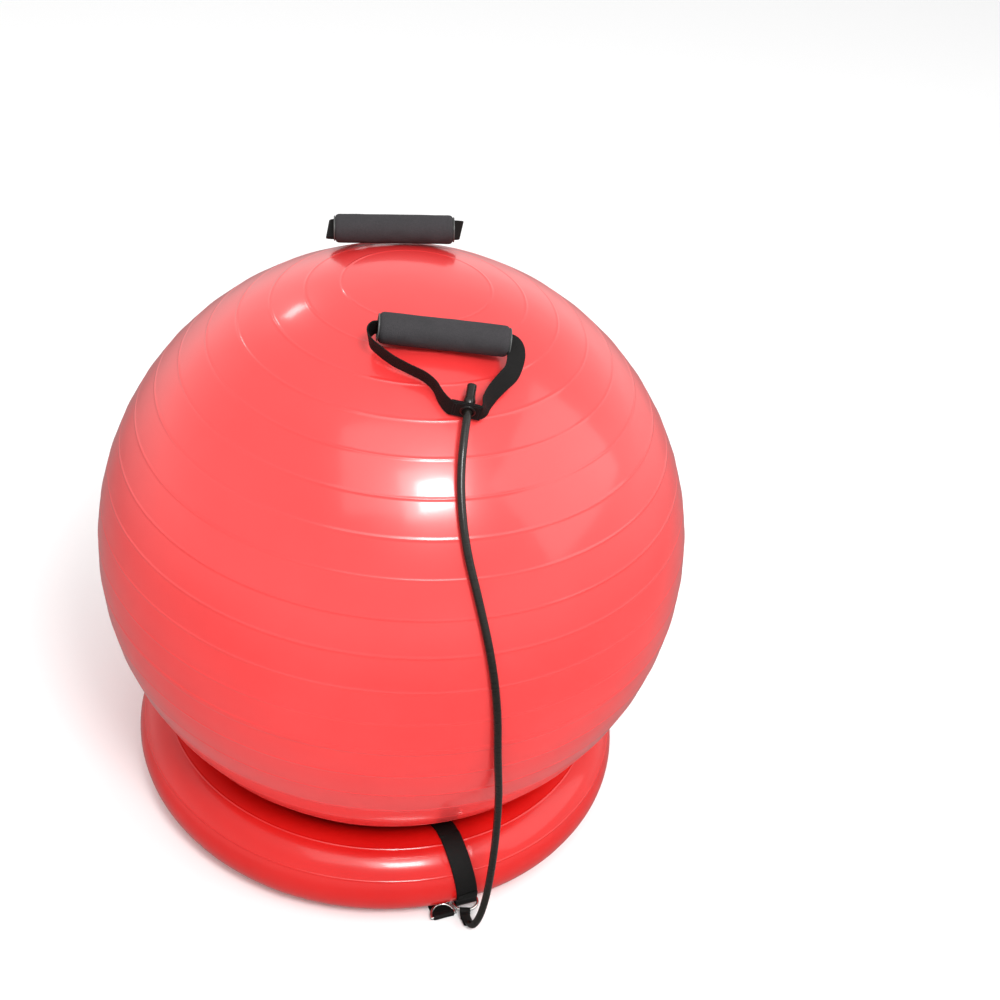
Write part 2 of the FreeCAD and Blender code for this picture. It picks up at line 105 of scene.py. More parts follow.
TAB_W, TAB_T, TAB_BOW_ANGLE = 0.012, 0.0013, 112
HANDLE_NORMAL_AZ, HANDLE_NORMAL_EL, HANDLE_TURN = -11.7, 60.9, 7.0
GROMMET_AZ, GROMMET_LAT, GROMMET_R = -3.8, 57.2, 0.3373
GRIP_X, GRIP_Y = -0.0249, 0.0790
FOAM_L, FOAM_R = 0.124, 0.0152
CORE_L, CORE_R, CORE_BORE_R = 0.1272, 0.0122, 0.0106
WEB_W, WEB_T = 0.020, 0.0015
EYE_LEAN, EYE_DIP = 7, 12
STITCH_PITCH, STITCH_R = 0.0026, 0.00022
WARP_PITCH, WEFT_PITCH = 0.00115, 0.0017

FLOOR_HALF = 60
SKY = ((-20, 0.28), (2, 1.0), (35, 0.8), (90, 1.15))   # elevation in degrees, and brightness
CARRY = 1000   # a number carried along a curve is made this much smaller, so it adds no length


def on_sphere(azimuth, latitude, r):
    """A point at radius r from the ball's middle; azimuth 0 is -Y, towards +X."""
    a, b = radians(azimuth), radians(latitude)
    return BALL_C + Vector((cos(b) * sin(a), -cos(b) * cos(a), sin(b))) * r


def on_floor_plan(azimuth, rho, z):
    """A point at rho from the upright axis and at height z, with the azimuth as in on_sphere."""
    a = radians(azimuth)
    return Vector((rho * sin(a), -rho * cos(a), z))


def axes(x, y, z, at):
    """The frame at a point that has the given three axes."""
    return Matrix.Translation(at) @ Matrix((x, y, z)).transposed().to_4x4()


def eased(t):
    """Goes from 0 to 1 as t does, gently at both ends."""
    t = min(1, max(0, t))
    return t * t * (3 - 2 * t)


def heading(path, i):
    """The direction of a path at its point i."""
    return (path[min(i + 1, len(path) - 1)] - path[max(i - 1, 0)]).normalized()


# ---- mesh tools ------------------------------------------------------------------------
def grid(rows, close_rows=True, close_ends=False):
    """Rows of points joined by quads. A row of one point is a pole."""
    bm = bmesh.new()
    made = [[bm.verts.new(p) for p in row] for row in rows]
    pairs = list(zip(made, made[1:])) + ([(made[-1], made[0])] if close_ends else [])
    for a, b in pairs:
        n = max(len(a), len(b))
        for i in range(n if close_rows else n - 1):
            j = (i + 1) % n
            corners = [a[i % len(a)], a[j % len(a)], b[j % len(b)], b[i % len(b)]]
            bm.faces.new(list(dict.fromkeys(corners)))
    return bm


def lathe(profile, place, steps=96, close_ends=True, rough=0.0):
    """Points of (radius, height) turned about z of the frame place; rough is a slight unevenness."""
    def ring(r, h):
        if r < 1e-7:
            return [place @ Vector((0, 0, h))]
        turned = []
        for i in range(steps):
            a = 2 * pi * i / steps
            swell = rough * noise.noise(Vector((cos(a) * 1.3, sin(a) * 1.3, h * 60)))
            turned.append(place @ Vector(((r + swell) * cos(a), (r + swell) * sin(a), h)))
        return turned

    return grid([ring(r, h) for r, h in profile], close_ends=close_ends)


def rounded(corners, radius, steps=4):
    """An outline of (x, y) corners with each corner rounded by a quadratic curve."""
    out = []
    for i, here in enumerate(corners):
        p = Vector(here)
        before, after = Vector(corners[i - 1]) - p, Vector(corners[(i + 1) % len(corners)]) - p
        a = p + before.normalized() * min(radius, before.length / 2.1)
        b = p + after.normalized() * min(radius, after.length / 2.1)
        for k in range(steps + 1):
            t = k / steps
            out.append(tuple(a * (1 - t) ** 2 + p * 2 * t * (1 - t) + b * t * t))
    return out


def piece(name, bm, material, side="front"):
    """A smooth-shaded object made from bm, turned to its side of the ball."""
    bmesh.ops.recalc_face_normals(bm, faces=bm.faces)
    mesh = bpy.data.meshes.new(name)
    bm.to_mesh(mesh)
    mesh.transform(SIDES[side])
    mesh.shade_smooth()
    mesh.materials.append(material)
    obj = bpy.data.objects.new(name, mesh)
    bpy.context.scene.collection.objects.link(obj)
    return obj


def settle(obj, body, slot, *nodes):
    """Puts an object on its body, in place of the CAD nodes it stands for."""
    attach(obj, body)
    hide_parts(*nodes)
    return obj


def mark_weave(bm, marks):
    """Stores on each vertex its place along and across the piece, for the material."""
    bm.verts.ensure_lookup_table()
    weave = bm.verts.layers.float_vector.new("weave")
    for v, mark in zip(bm.verts, marks):
        v[weave] = mark


def open_hole(bm, centre, axis, radius, again):
    """A round hole with a lip. Faces near it are split up and laid back on the surface by again."""
    for reach in (4.5, 3.2, 2.2):
        near = [f for f in bm.faces if (f.calc_center_median() - centre).length < reach * radius]
        edges = list(dict.fromkeys(e for f in near for e in f.edges))
        split = bmesh.ops.subdivide_edges(bm, edges=edges, cuts=1, use_grid_fill=True)
        for v in split["geom_inner"]:
            if isinstance(v, bmesh.types.BMVert):
                v.co = again(v.co)

    def off_axis(p):
        d = p - centre
        return d - axis * d.dot(axis)

    near = [f for f in bm.faces if (f.calc_center_median() - centre).length < 3 * radius]
    inside = [f for f in near if off_axis(f.calc_center_median()).length < radius]
    bmesh.ops.delete(bm, geom=inside, context="FACES")
    rim = [e for e in bm.edges if e.is_boundary]
    for v in dict.fromkeys(v for e in rim for v in e.verts):
        v.co = again(centre + off_axis(v.co).normalized() * radius)
    lip = bmesh.ops.extrude_edge_only(bm, edges=rim)
    for v in lip["geom"]:
        if isinstance(v, bmesh.types.BMVert):
            v.co -= axis * LIP_DEPTH


# ---- material tools --------------------------------------------------------------------
class Finish:
    """A Principled material with constant sockets set on the shader, and short calls for its nodes."""

    def __init__(self, name, colour, roughness, **sockets):
        self.material = bpy.data.materials.new(name)
        self.material.use_nodes = True
        self.tree = self.material.node_tree
        self.shader = self.tree.nodes["Principled BSDF"]
        self.shader.inputs["Base Color"].default_value = (*colour, 1)
        self.shader.inputs["Roughness"].default_value = roughness
        for socket, value in sockets.items():
            self.shader.inputs[socket.replace("_", " ")].default_value = value

    def node(self, kind, inputs, out=0, **settings):
        """A new shader node; each input is a value or another node's output. Gives its output out."""
        made = self.tree.nodes.new("ShaderNode" + kind)
        for key, value in settings.items():
            setattr(made, key, value)
        for key, value in inputs.items():
            if isinstance(value, bpy.types.NodeSocket):
                self.tree.links.new(value, made.inputs[key])
            else:
                made.inputs[key].default_value = value
        return made.outputs[out]

    def place(self, stretch=(1, 1, 1)):
        at = self.node("TexCoord", {}, out="Object")
        return self.node("Mapping", {"Vector": at, "Scale": stretch})

    def noise(self, scale, detail=2.0, stretch=(1, 1, 1), at=None):
        where = self.place(stretch) if at is None else at
        return self.node("TexNoise", {"Vector": where, "Scale": scale, "Detail": detail})

    def maths(self, operation, a, b=0.0):
        return self.node("Math", {0: a, 1: b}, operation=operation)

    def spread(self, value, low, high, to_low, to_high):
        return self.node("MapRange", {0: value, 1: low, 2: high, 3: to_low, 4: to_high})

    def tint(self, factor, dark, light):
        mixed = self.node("Mix", {0: factor, 6: (*dark, 1), 7: (*light, 1)}, out=2, data_type="RGBA")
        self.tree.links.new(mixed, self.shader.inputs["Base Color"])

    def roughen(self, value):
        self.tree.links.new(value, self.shader.inputs["Roughness"])

    def bump(self, height, distance, strength=1.0):
        bumped = self.node("Bump", {"Height": height, "Distance": distance, "Strength": strength})
        self.tree.links.new(bumped, self.shader.inputs["Normal"])


def vinyl(name, deep, bright, coat, specular):
    """Blown PVC: glossy, a fine orange peel, faint cloudiness and dull smudges."""
    f = Finish(name, bright, 0.3, Specular_IOR_Level=specular, Coat_Weight=coat, Coat_Roughness=0.12)
    cloud = f.noise(7.0, 4.0)
    f.tint(f.spread(cloud, 0.3, 0.7, 0.0, 1.0), deep, bright)
    smudge = f.noise(9.0, 3.0, stretch=(1, 1, 2.4))
    f.roughen(f.spread(smudge, 0.3, 0.7, 0.28, 0.36))
    f.bump(f.noise(700.0, 1.0), 0.00002, 0.5)
    return f.material


def webbing():
    """Black polypropylene webbing: ridges along it, crossed by the weft like bricks, with painted shade in
    the low places of the weave.
    """
    f = Finish("black_webbing", (0.012, 0.012, 0.013), 0.62, Specular_IOR_Level=0.15)
    at = f.node("Attribute", {}, out="Vector", attribute_name="weave")
    parts = f.tree.nodes.new("ShaderNodeSeparateXYZ")
    f.tree.links.new(at, parts.inputs[0])
    column = f.maths("DIVIDE", parts.outputs[1], WARP_PITCH)
    offset = f.maths("FRACT", f.maths("MULTIPLY", f.maths("FLOOR", column), 0.5))
    ridge = f.maths("SINE", f.maths("MULTIPLY", f.maths("FRACT", column), pi))
    pick = f.maths("ADD", f.maths("DIVIDE", parts.outputs[0], WEFT_PITCH), offset)
    crossing = f.maths("ABSOLUTE", f.maths("SINE", f.maths("MULTIPLY", pick, pi)))
    height = f.maths("MULTIPLY", ridge, crossing)
    fuzz = f.noise(1500.0, 3.0)
    # the colour is darkest where the weave is low, between ridges and at the weft's crossings: painted
    # shade, broken up by the fibres' fuzz
    f.tint(f.maths("MULTIPLY", height, fuzz), (0.0025, 0.0023, 0.0022), (0.018, 0.016, 0.015))
    f.roughen(f.spread(fuzz, 0.3, 0.7, 0.5, 0.75))
    f.bump(f.maths("ADD", height, f.maths("MULTIPLY", fuzz, 0.35)), 0.00022)
    return f.material


def thread():
    """Black sewing thread with a slight twist, and painted shade in the grooves of the twist."""
    f = Finish("black_thread", (0.017, 0.017, 0.017), 0.6, Specular_IOR_Level=0.25)
    ply = f.node("TexWave", {"Vector": f.place(), "Scale": 900.0, "Distortion": 1.5})
    # the twist's pattern darkens the colour in its low grooves: painted shade
    f.tint(ply, (0.006, 0.006, 0.006), (0.028, 0.027, 0.027))
    f.bump(ply, 0.00006)
    return f.material


def rubber():
    """Latex tube: dark brown-black, softly glossy, with faint streaks along it."""
    f = Finish("tube_latex", (0.010, 0.008, 0.0065), 0.3, Specular_IOR_Level=0.2,
               Coat_Weight=0.35, Coat_Roughness=0.1)
    at = f.node("Attribute", {}, out="Vector", attribute_name="weave")
    stretched = f.node("Mapping", {"Vector": at, "Scale": (12, 1, 1)})
    streak = f.noise(95.0, 4.0, at=stretched)
    f.tint(f.spread(streak, 0.3, 0.7, 0.0, 1.0), (0.006, 0.0045, 0.0034), (0.012, 0.009, 0.0065))
    f.roughen(f.spread(streak, 0.3, 0.75, 0.24, 0.42))
    f.bump(f.noise(900.0, 2.0), 0.00003)
    return f.material


def foam():
    """Closed-cell foam: matt charcoal, pitted by fine cells with painted shade in the pits, paler where the
    skin is rubbed.
    """
    f = Finish("grip_foam_cells", (0.04, 0.041, 0.045), 0.85, Specular_IOR_Level=0.3)
    cells = f.node("TexVoronoi", {"Vector": f.place(), "Scale": 1150.0})
    rub = f.noise(55.0, 5.0)
    # the colour darkens towards the middle of each cell, where the bump sinks a pit: painted shade; the
    # rubbed patches make it paler
    pit_shade_and_rub = f.maths("MULTIPLY", f.spread(cells, 0.0, 0.55, 0.25, 1.0),
                    f.spread(rub, 0.25, 0.75, 0.55, 1.1))
    f.tint(pit_shade_and_rub, (0.011, 0.0105, 0.0115), (0.040, 0.037, 0.040))
    f.roughen(f.spread(rub, 0.3, 0.7, 0.74, 0.92))
    f.bump(f.maths("ADD", cells, f.maths("MULTIPLY", rub, 0.6)), 0.0003, 0.7)
    return f.material


def metal(name, colour, roughness):
    """Plated wire or sheet: bright, with fine scratches and a little dulling."""
    f = Finish(name, colour, roughness, Metallic=1.0)
    dull = f.noise(160.0, 5.0)
    f.tint(f.spread(dull, 0.35, 0.75, 0.0, 1.0), colour, tuple(c * 0.72 for c in colour))
    f.roughen(f.spread(dull, 0.3, 0.8, roughness, roughness + 0.16))
    f.bump(f.noise(1400.0, 3.0, stretch=(0.15, 1, 1)), 0.000025)
    return f.material


def moulded(name, colour, roughness):
    """Injection-moulded plastic: slightly mottled, with a fine spark-eroded grain."""
    f = Finish(name, colour, roughness)
    mottle = f.noise(90.0, 4.0)
    f.tint(f.spread(mottle, 0.3, 0.7, 0.0, 1.0), tuple(c * 0.82 for c in colour), colour)
    f.roughen(f.spread(mottle, 0.3, 0.7, roughness - 0.05, roughness + 0.1))
    f.bump(f.noise(2600.0, 2.0), 0.00004)
    return f.material


BALL_VINYL = vinyl("ball_vinyl_red", (0.72, 0.029, 0.029), (0.77, 0.038, 0.038), 0.7, 0.5)
RING_VINYL = vinyl("ring_vinyl_red", (0.54, 0.004, 0.003), (0.60, 0.007, 0.005), 0.55, 0.3)
WEBBING, THREAD, RUBBER, FOAM = webbing(), thread(), rubber(), foam()
CHROME = metal("d_ring_chrome", (0.82, 0.82, 0.80), 0.14)
EYELET = metal("eyelet_blackened", (0.07, 0.068, 0.065), 0.24)
CORE = moulded("core_grey", (0.08, 0.082, 0.08), 0.45)
PLUG = moulded("plug_white", (0.78, 0.77, 0.73), 0.38)
STOPPER = moulded("stopper_black", (0.02, 0.02, 0.021), 0.4)


# ---- the ball --------------------------------------------------------------------------
def rib_height(latitude):
    """How far a rib stands out of the ball at a latitude in degrees."""
    place = latitude / RIB_STEP - 0.5
    rib = round(place)
    if abs(rib + 0.5) > RIBS_EACH_HALF:
        return 0.0
    off = (place - rib) * RIB_STEP
    if rib == SEAM_RIB:
        off = max(0.0, abs(off) - SEAM_HALF) * 2
    return RIB_HEIGHT * exp(-(off / RIB_SPREAD) ** 2)


def ball_again(p):
    """The point of the ball's skin above p: ribs, and the slight waves of blown vinyl."""
    out = (p - BALL_C).normalized()
    waves = sum(height * noise.noise(out * closeness) for height, closeness in BALL_WAVES)
    latitude = degrees(asin(max(-1, min(1, out.z))))
    return BALL_C + out * (BALL_R - SKIN_INSET + rib_height(latitude) + waves)


def outward(azimuth, latitude):
    """The direction out of the ball at a place on it."""
    return (on_sphere(azimuth, latitude, 1) - BALL_C).normalized()


def make_ball():
    """The skin in circles of latitude, closer together near each rib, with a hole for the valve."""
    steps_round, cap_step = 240, 1.5
    one_side = [0.1, 0.2, 0.36, 0.5, 0.58, 0.68, 0.85]
    near_rib = [-d for d in reversed(one_side)] + [0] + one_side
    latitudes = []
    for k in range(-RIBS_EACH_HALF, RIBS_EACH_HALF):
        rib = (k + 0.5) * RIB_STEP
        latitudes += [rib + d for d in near_rib]
        between = 4 if k < RIBS_EACH_HALF - 1 else 0
        span = RIB_STEP - 2 * near_rib[-1]
        latitudes += [rib + near_rib[-1] + span * (i + 1) / (between + 1) for i in range(between)]
    cap = [90 - cap_step * (i + 1) for i in range(ceil((90 - latitudes[-1]) / cap_step) - 1)]
    latitudes = [-c for c in cap] + latitudes + cap[::-1]
    rows = [[ball_again(BALL_C - Z)]]
    for latitude in latitudes:
        row = [on_sphere(360 * i / steps_round, latitude, BALL_R) for i in range(steps_round)]
        rows.append([ball_again(p) for p in row])
    rows.append([ball_again(BALL_C + Z)])
    bm = grid(rows)
    axis = outward(BALL_VALVE_AZ, BALL_VALVE_LAT)
    open_hole(bm, BALL_C + axis * BALL_R, axis, SEAT_R, ball_again)
    settle(piece("ball_skin", bm, BALL_VINYL), "ball", "ball_vinyl", "ball_shell")


# ---- the ring --------------------------------------------------------------------------
def strap_x(z, outer):
    """The x of a ring strap's middle at height z, outside or inside the ring."""
    return STRAP_TOP_X + (STRAP_LEAN_OUT if outer else STRAP_LEAN_IN) * (STRAP_TOP_Z - z)


def pinch_at(p):
    """How far the skin gives way at p under the strap of its own side."""
    here = p if p.y < 0 else SIDES["rear"] @ p
    outer = hypot(here.x, here.y) > RING_MID_R
    if outer and here.z < RING_MID_Z - RING_R * sin(radians(STRAP_TURN_ANGLE)):
        outer = False
    off = abs(here.x - strap_x(here.z, outer)) - STRAP_W / 2
    return eased(1 - off / PINCH_SHOULDER)


def ring_point(azimuth, angle):
    """A point of the ring's skin; azimuth and section angle in radians, angle 0 is outwards."""
    round_ring = Vector((cos(azimuth), sin(azimuth), 0)) * WAVES_ROUND
    waves = RING_WAVE * noise.noise(round_ring + Z * (angle * WAVES_SECTION))
    r = RING_R - SKIN_INSET + waves
    for bead in BEAD_ANGLES:
        off = (degrees(angle) - bead + 180) % 360 - 180
        r += BEAD_HEIGHT * exp(-(off / BEAD_SPREAD) ** 2)
    flat = Vector((sin(azimuth), -cos(azimuth), 0))
    p = flat * (RING_MID_R + r * cos(angle)) + Z * (RING_MID_Z + r * sin(angle))
    give = pinch_at(p)
    p -= (flat * cos(angle) + Z * sin(angle)) * PINCH * give
    p.z = max(p.z, give * RING_OVER_STRAP)
    return p


def ring_again(p):
    """The point of the ring's skin nearest p."""
    return ring_point(atan2(p.x, -p.y), atan2(p.z - RING_MID_Z, hypot(p.x, p.y) - RING_MID_R))


def ring_valve_axis():
    """The direction out of the ring's section at its valve."""
    a, t = radians(RING_VALVE_AZ), radians(RING_VALVE_TILT)
    return Vector((sin(a) * cos(t), -cos(a) * cos(t), sin(t)))


def make_ring():
    """The skin in sections round the ring, closer together near each strap and moulded line."""
    near_bead, coarse_step, clear_of_bead = (-3.2, -2.1, -1.3, -0.65, 0, 0.65, 1.3, 2.1, 3.2), 4, 4.5
    fine = [b + d for b in BEAD_ANGLES for d in near_bead]
    coarse = [a for a in range(0, 360, coarse_step)
              if all(abs(a - b) > clear_of_bead for b in BEAD_ANGLES)]
    angles = [radians(a) for a in sorted(fine + coarse)]
    near_strap = [d * 0.35 for d in range(-20, 21)]
    azimuths = near_strap + [180 + d for d in near_strap]
    between = 120
    span = 180 - 2 * near_strap[-1]
    for start in (0, 180):
        azimuths += [start + near_strap[-1] + (d + 1) * span / (between + 1) for d in range(between)]
    rows = [[ring_point(radians(az), a) for a in angles] for az in sorted(azimuths)]
    bm = grid(rows, close_ends=True)
    axis = ring_valve_axis()
    centre = on_floor_plan(RING_VALVE_AZ, RING_MID_R, RING_MID_Z) + axis * RING_R
    open_hole(bm, centre, axis, SEAT_R, ring_again)
    settle(piece("ring_skin", bm, RING_VINYL), "ring_base", "ring_vinyl", "ring_tube")


# ---- valves ----------------------------------------------------------------------------
def outward_frame(at, out):
    """A frame at a point, with z outwards."""
    side = Z.cross(out).normalized()
    return axes(side, out.cross(side), out, at)


def make_valve(which, place, seat_material, seat_slot, body):
    """The soft seat in the wall, and the push-in plug with a raised rim to pull it by."""
    seat = rounded([(SEAT_BORE_R, -RECESS_DEPTH), (RECESS_R, -RECESS_DEPTH), (RECESS_R, 0),
                    (SEAT_R - 0.0008, 0.0002), (SEAT_R, -0.0004), (SEAT_R, -SEAT_DEPTH),
                    (SEAT_BORE_R, -SEAT_DEPTH)], 0.0004)
    settle(piece(which + "_valve_seat_soft", lathe(seat, place), seat_material),
           body, seat_slot, which + "_valve_seat")
    plug = [(0, -0.0008), (0.0024, -0.0008), (0.0030, -0.0002), (0.0038, -0.0002), (0.0044, -0.0007),
            (0.0052, -0.0007), (0.0056, -0.0001), (PLUG_HEAD_R, -0.0004), (PLUG_HEAD_R, -PLUG_HEAD_T),
            (0.0036, -PLUG_HEAD_T - 0.0001), (0.0035, -0.004), (0.0031, -0.0055), (0.0033, -0.0075),
            (0.0028, -PLUG_LENGTH), (0, -PLUG_LENGTH - 0.0005)]
    settle(piece(which + "_plug_moulded", lathe(plug, place, close_ends=False), PLUG),
           which + "_plug", "plug_plastic", which + "_plug")


# ---- webbing ---------------------------------------------------------------------------
def through(points, step):
    """Points along a smooth curve through the given ones (Catmull-Rom), about step apart.
    A point may have more numbers than three, which are carried along."""
    ends = [Vector([2 * b - a for a, b in zip(points[1], points[0])])] + [Vector(p) for p in points]
    ends.append(Vector([2 * b - a for a, b in zip(points[-2], points[-1])]))
    out = []
    for p0, p1, p2, p3 in zip(ends, ends[1:], ends[2:], ends[3:]):
        n = max(2, ceil((p2 - p1).length / step))
        for i in range(n):
            t = i / n
            out.append((p1 * 2 + (p2 - p0) * t + (p0 * 2 - p1 * 5 + p2 * 4 - p3) * t ** 2
                        + (p1 * 3 - p0 - p2 * 3 + p3) * t ** 3) / 2)
    return out + [ends[-2]]


def web_section(width, thickness):
    """Half a section of webbing, (across, up): a rounded edge and fine ridges of the warp."""
    ridges = 18
    top = []
    for i in range(2 * ridges + 1):
        u = -0.5 + i / (2 * ridges)
        edge = min(1.0, (0.5 - abs(u)) * width / (thickness * 0.45))
        rise = sqrt(max(0.0, 1 - (1 - edge) ** 2))
        top.append((u * width, thickness * (0.44 * rise + 0.05 * (i % 2) * (edge >= 1))))
    return top


def ribbon(path, across, width, thickness, curl=None):
    """Webbing along path, wide in the across direction; curl is how sharply each row bends over."""
    top = web_section(width, thickness)
    outline = top + [(u, -v) for u, v in top[-2:0:-1]]
    n = len(outline)
    rows, marks, gone = [], [], 0.0
    for i, p in enumerate(path):
        ahead = heading(path, i)
        wide = (across[i] - ahead * across[i].dot(ahead)).normalized()
        up = ahead.cross(wide)
        k = curl[i] if curl else 0.0
        gone += (p - path[i - 1]).length if i else 0.0
        rows.append([])
        for u, v in outline:
            turn = u * k
            bent = sin(turn) / k if abs(k) > 1e-6 else u
            sunk = (1 - cos(turn)) / k if abs(k) > 1e-6 else 0.0
            normal = up * cos(turn) + wide * sin(turn)
            rows[-1].append(p + wide * bent - up * sunk + normal * v)
            marks.append((gone, u, 0.0))
    bm = grid(rows)
    mark_weave(bm, marks)
    for first in (0, len(bm.verts) - n):
        for i in range(n // 2 - 1):
            a, b = first + i, first + (n - i) % n
            c, d = first + i + 1, first + n - i - 1
            corners = list(dict.fromkeys([bm.verts[k] for k in (a, c, d, b)]))
            if len(corners) > 2:
                bm.faces.new(corners)
    return bm


def stitch_row(bm, start, end, up):
    """A row of lock stitches: short arched threads laid end to end."""
    count = max(1, round((end - start).length / STITCH_PITCH))
    along = (end - start).normalized()
    side = up.cross(along).normalized()
    for i in range(count):
        middle = start + (end - start) * ((i + 0.5) / count)
        rings = []
        for t in (-1, -0.6, 0, 0.6, 1):
            thick = STITCH_R * (1 - 0.35 * t * t)
            lift = STITCH_R * (1 - t * t) - 0.00008
            at = middle + along * (t * STITCH_PITCH * 0.42) + up * lift
            rings.append([bm.verts.new(at + (side * cos(a) + up * sin(a)) * thick)
                          for a in (k * pi / 3 for k in range(6))])
        for a, b in zip(rings, rings[1:]):
            for k in range(6):
                bm.faces.new((a[k], a[(k + 1) % 6], b[(k + 1) % 6], b[k]))
        bm.faces.new(rings[0])
        bm.faces.new(rings[-1][::-1])


# ---- strap round the ring --------------------------------------------------------------
def section(angle, r, x):
    """A point round the ring's section on the front side; angle in degrees, 0 outwards, 90 up."""
    a = radians(angle)
    return Vector((x, -RING_MID_R - r * cos(a), RING_MID_Z + r * sin(a)))


TAIL_X = strap_x(0, False)
PULL_BAR = section(PULL_D_ANGLE, RING_R + 0.0034, 0)
PULL_BAR.x = strap_x(PULL_BAR.z, True)
TAIL_BAR = Vector((TAIL_X, -RING_MID_R - TAIL_Y_OUT, 0.00305))


def ring_strap_path():
    """From the sewn end over the pull D-ring's bar, round the ring, under it and over the tail bar."""
    seat, bar_r = STRAP_R + STRAP_T / 2, RING_R + 0.001
    sewn_lift, open_lift = STRAP_T * 1.04, 2 * SLEEVE_R
    sewn_end, round_bar = -8, range(0, 181, 15)

    def main_r(angle):
        return bar_r + (seat - bar_r) * eased((angle - PULL_D_ANGLE) / 16)

    path = []
    for angle in range(sewn_end, PULL_D_ANGLE, -2):
        lift = sewn_lift + (open_lift - sewn_lift) * eased((PULL_D_ANGLE + 18 - angle) / 14)
        path.append(section(angle, main_r(angle) + lift, 0))
    for turn in round_bar:
        a = radians(PULL_D_ANGLE - turn)
        path.append(PULL_BAR + Vector((0, -cos(a), sin(a))) * SLEEVE_R)
    path += [section(angle, main_r(angle), 0) for angle in range(PULL_D_ANGLE + 1, 270, 2)]
    for p in path:
        p.z = max(p.z, STRAP_ON_FLOOR)
        p.x = strap_x(p.z, p.y < -RING_MID_R)
    flat = [Vector((TAIL_X, -RING_MID_R - TAIL_Y_OUT * i / 20, STRAP_ON_FLOOR)) for i in range(20)]
    round_tail = []
    for turn in round_bar:
        a = radians(-90 - turn)
        round_tail.append(TAIL_BAR + Vector((0, cos(a), sin(a))) * SLEEVE_R)
    back = [TAIL_BAR + Vector((0, y, z)) for y, z in ((0.003, 0.0018), (0.006, -0.0002), (0.009, -0.0011))]
    back += [TAIL_BAR + Vector((0, 0.012 + 0.0015 * i, -0.0012)) for i in range(3)]
    return path + flat + round_tail + back


def make_ring_strap(side):
    """The webbing strap, and the stitches that close its loop round the pull D-ring."""
    path = through(ring_strap_path(), 0.0022)
    bm = ribbon(path, [X] * len(path), STRAP_W, STRAP_T)
    strap = piece("ring_strap_webbing_" + side, bm, WEBBING, side)
    settle(strap, "ring_base", "webbing", "ring_strap_" + side)

    def on_lap(angle, x):
        """A point on the sewn lap, x from its middle line."""
        p = section(angle, LAP_TOP_R, 0)
        p.x = strap_x(p.z, True) + x
        return p

    bm = bmesh.new()
    top, bottom, step = -11, -28, 3
    for angle in (top, bottom):
        up = Vector((0, -cos(radians(angle)), sin(radians(angle))))
        stitch_row(bm, on_lap(angle, -STRAP_STITCH_X), on_lap(angle, STRAP_STITCH_X), up)
    for x in (-STRAP_STITCH_X, STRAP_STITCH_X):
        for angle in range(bottom, top, step):
            up = Vector((0, -cos(radians(angle)), sin(radians(angle))))
            stitch_row(bm, on_lap(angle, x), on_lap(angle + step, x), up)
    stitches = piece("ring_strap_stitches_" + side, bm, THREAD, side)
    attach(stitches, "ring_base")


# ---- the handle's frames and the elastic tube ------------------------------------------
# The handle's frame: X along the grip, U up the ball from eyelet to grip, M out of the ball.
# The eyelet's own frame leans to the side by EYE_LEAN and dips towards the ball by EYE_DIP.
HANDLE_M = outward(HANDLE_NORMAL_AZ, HANDLE_NORMAL_EL)
EAST = Vector((cos(radians(HANDLE_NORMAL_AZ)), sin(radians(HANDLE_NORMAL_AZ)), 0))
HANDLE_U = HANDLE_M.cross(EAST) * cos(radians(HANDLE_TURN)) + EAST * sin(radians(HANDLE_TURN))
HANDLE_X = HANDLE_U.cross(HANDLE_M)
GROMMET = on_sphere(GROMMET_AZ, GROMMET_LAT, GROMMET_R)
HANDLE = axes(HANDLE_X, HANDLE_U, HANDLE_M, GROMMET)
TUBE_U = HANDLE_U * cos(radians(EYE_LEAN)) + HANDLE_X * sin(radians(EYE_LEAN))
TUBE_X = TUBE_U.cross(HANDLE_M)
EYE_U = TUBE_U * cos(radians(EYE_DIP)) - HANDLE_M * sin(radians(EYE_DIP))
EYE_M = TUBE_X.cross(EYE_U)
EYE = axes(TUBE_X, EYE_U, EYE_M, GROMMET)

# The same corner points as the CAD tube, in metres: the foot first, then up over the ball.
LAST_TOP_CORNER = on_sphere(-8.3, 45.4, ON_BALL_R)
FIRST_CORNER = on_sphere(-8.1, 35.8, ON_BALL_R)
JOIN = (LAST_TOP_CORNER + FIRST_CORNER) / 2
ROUTE = [
    on_floor_plan(0.95, 0.2955, 0.0066),
    on_floor_plan(0.96, 0.3105, 0.0054),
    on_floor_plan(1.9, 0.3170, 0.024),
    on_floor_plan(2.7, 0.3180, 0.058),
    on_floor_plan(2.8, 0.3190, 0.112),
    on_floor_plan(2.1, 0.3226, 0.174),
    on_floor_plan(0.9, 0.3276, 0.236),
    on_floor_plan(-0.95, 0.3316, 0.298),
    on_sphere(-2.0, 5.6, ON_BALL_R),
    on_sphere(-3.55, 16.0, ON_BALL_R),
    on_sphere(-5.8, 26.3, ON_BALL_R),
    FIRST_CORNER,
    JOIN,
]
TOP_ROUTE = [
    JOIN,
    LAST_TOP_CORNER,
    GROMMET - TUBE_U * 0.022,
    GROMMET + TUBE_U * TUBE_PAST_EYE,
]
FOOT_END = ROUTE[0]
FOOT_IN = (ROUTE[0] - ROUTE[1]).normalized()


def spline(points):
    """Points read from one NURBS spline that has the given control points."""
    curve = bpy.data.curves.new("route", "CURVE")
    curve.dimensions = "3D"
    nurbs = curve.splines.new("NURBS")
    nurbs.points.add(len(points) - 1)
    for control, p in zip(nurbs.points, points):
        control.co = (*p, 1)
    nurbs.order_u = 3
    nurbs.use_endpoint_u = True
    nurbs.resolution_u = 16
    obj = bpy.data.objects.new("route", curve)
    mesh = bpy.data.meshes.new_from_object(obj)
    out = [v.co.copy() for v in mesh.vertices]
    bpy.data.objects.remove(obj)
    return out


